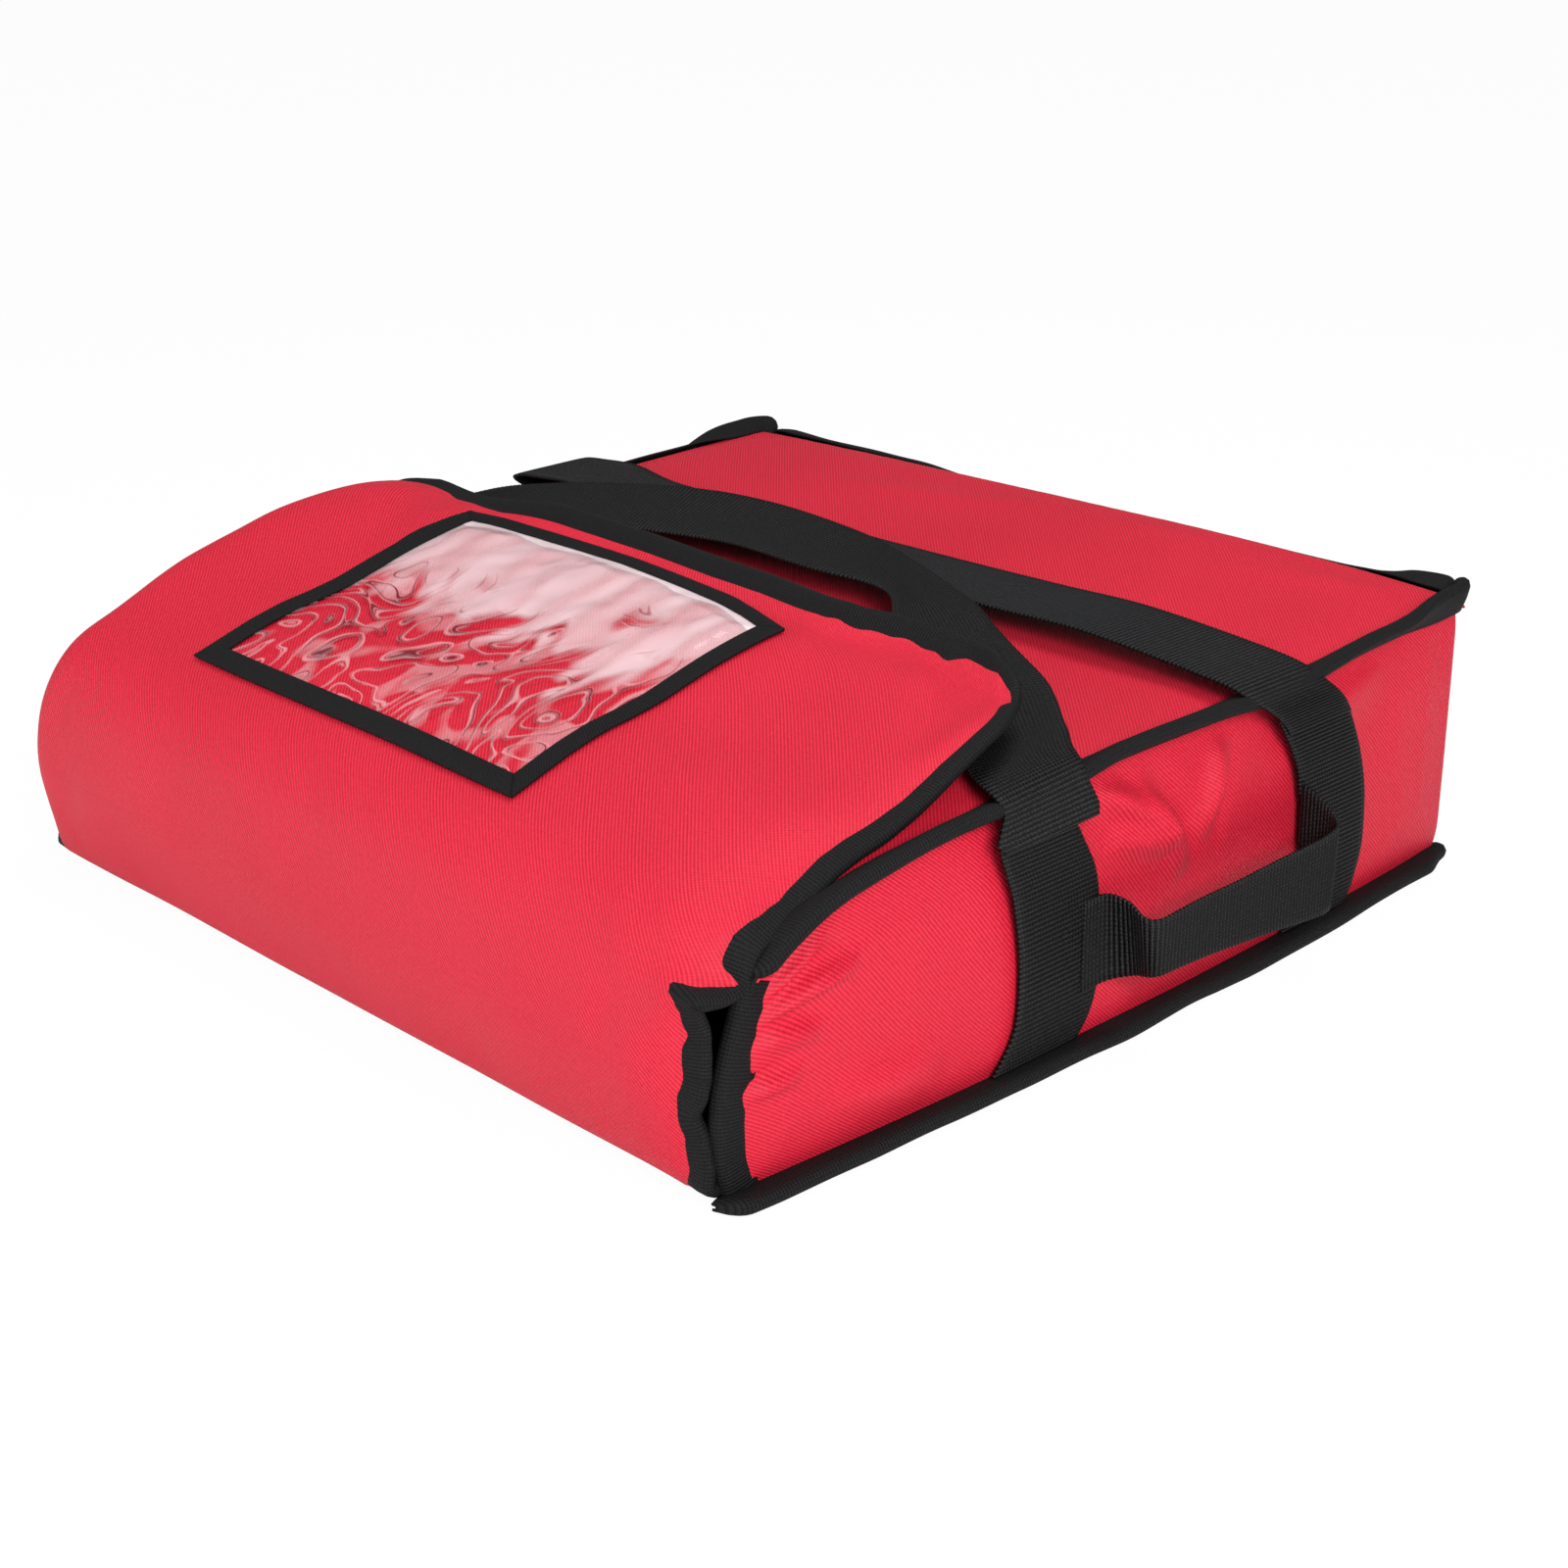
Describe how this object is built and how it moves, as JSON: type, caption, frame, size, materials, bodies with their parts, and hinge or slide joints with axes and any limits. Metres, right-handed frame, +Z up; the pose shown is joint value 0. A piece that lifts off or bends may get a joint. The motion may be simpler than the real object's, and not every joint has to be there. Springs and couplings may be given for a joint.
{
  "type": "pizza delivery bag",
  "caption": "Soft insulated pizza delivery bag: a padded box with a fold-over front flap, clear ticket window, webbing carry loops and side grab handles.",
  "frame": {"origin": "on the floor under the middle of the bag: half way across the side walls, and half way from the front fold to the back wall", "axes": "+Z up, +X to the bag's right side as seen from its mouth, -Y to the mouth and the flap"},
  "size_m": [0.5812, 0.5385, 0.1683],
  "materials": {
    "red_oxford": "woven polyester oxford cloth with a low satin sheen",
    "grey_foam": "soft closed-cell insulation foam",
    "foil_lining": "silver foil film on cloth",
    "black_binding": "matt black woven binding tape",
    "black_webbing": "black ribbed polypropylene webbing",
    "black_fastener": "black hook-and-loop pile",
    "clear_vinyl": "clear flexible vinyl film, glossy and rippled"
  },
  "bodies": {
    "bag": {"bottom_shell": "red_oxford", "bottom_foam": "grey_foam", "bottom_lining": "foil_lining", "top_shell": "red_oxford", "top_foam": "grey_foam", "top_lining": "foil_lining", "right_shell": "red_oxford", "right_foam": "grey_foam", "right_lining": "foil_lining", "left_shell": "red_oxford", "left_foam": "grey_foam", "left_lining": "foil_lining", "back_shell": "red_oxford", "back_foam": "grey_foam", "back_lining": "foil_lining", "top_binding_right": "black_binding", "top_binding_left": "black_binding", "top_binding_back": "black_binding", "bottom_binding_right": "black_binding", "bottom_binding_left": "black_binding", "bottom_binding_back": "black_binding", "mouth_binding_right": "black_binding", "mouth_binding_left": "black_binding", "mouth_binding_top": "black_binding", "loop_tape": "black_fastener", "front_strap_right": "black_webbing", "front_strap_left": "black_webbing", "rear_strap_right": "black_webbing", "rear_strap_left": "black_webbing"},
    "flap_front": {"flap_front_shell": "red_oxford", "flap_front_foam": "grey_foam", "flap_front_lining": "foil_lining", "flap_front_binding_right": "black_binding", "flap_front_binding_left": "black_binding"},
    "flap_top": {"flap_top_shell": "red_oxford", "flap_top_foam": "grey_foam", "flap_top_lining": "foil_lining", "flap_top_binding": "black_binding", "window_vinyl": "clear_vinyl", "window_tape_front": "black_binding", "window_tape_rear": "black_binding", "window_tape_left": "black_binding", "window_tape_right": "black_binding", "hook_tape": "black_fastener"},
    "front_carry_loop": {"front_carry_loop": "black_webbing"},
    "rear_carry_loop": {"rear_carry_loop": "black_webbing"},
    "grab_handle_right": {"grab_handle_right": "black_webbing"},
    "grab_handle_left": {"grab_handle_left": "black_webbing"}
  },
  "joints": [
    {"name": "flap_front_fold", "type": "hinge", "parent": "bag", "child": "flap_front", "pos_m": [0, -0.258, 0.016], "axis": [1, 0, 0], "range_deg": [0, 90]},
    {"name": "flap_top_fold", "type": "hinge", "parent": "flap_front", "child": "flap_top", "pos_m": [0, -0.26075, 0.09415], "axis": [1, 0, 0], "range_deg": [0, 64]},
    {"name": "front_loop_lift", "type": "hinge", "parent": "bag", "child": "front_carry_loop", "pos_m": [-0.03, -0.02625, 0.14345], "axis": [1, 0, 0], "range_deg": [0, 75]},
    {"name": "rear_loop_lift", "type": "hinge", "parent": "bag", "child": "rear_carry_loop", "pos_m": [0, 0.155, 0.075], "axis": [-1, 0, 0], "range_deg": [0, 40]},
    {"name": "right_grab_swing", "type": "hinge", "parent": "bag", "child": "grab_handle_right", "pos_m": [0.26197, 0.04725, 0.064], "axis": [0, -1, 0], "range_deg": [0, 70]},
    {"name": "left_grab_swing", "type": "hinge", "parent": "bag", "child": "grab_handle_left", "pos_m": [-0.26197, 0.04725, 0.064], "axis": [0, 1, 0], "range_deg": [0, 70]}
  ],
  "couplings": [
    {"joint": "rear_loop_lift", "follows": "front_loop_lift", "ratio": 0.5333}
  ]
}
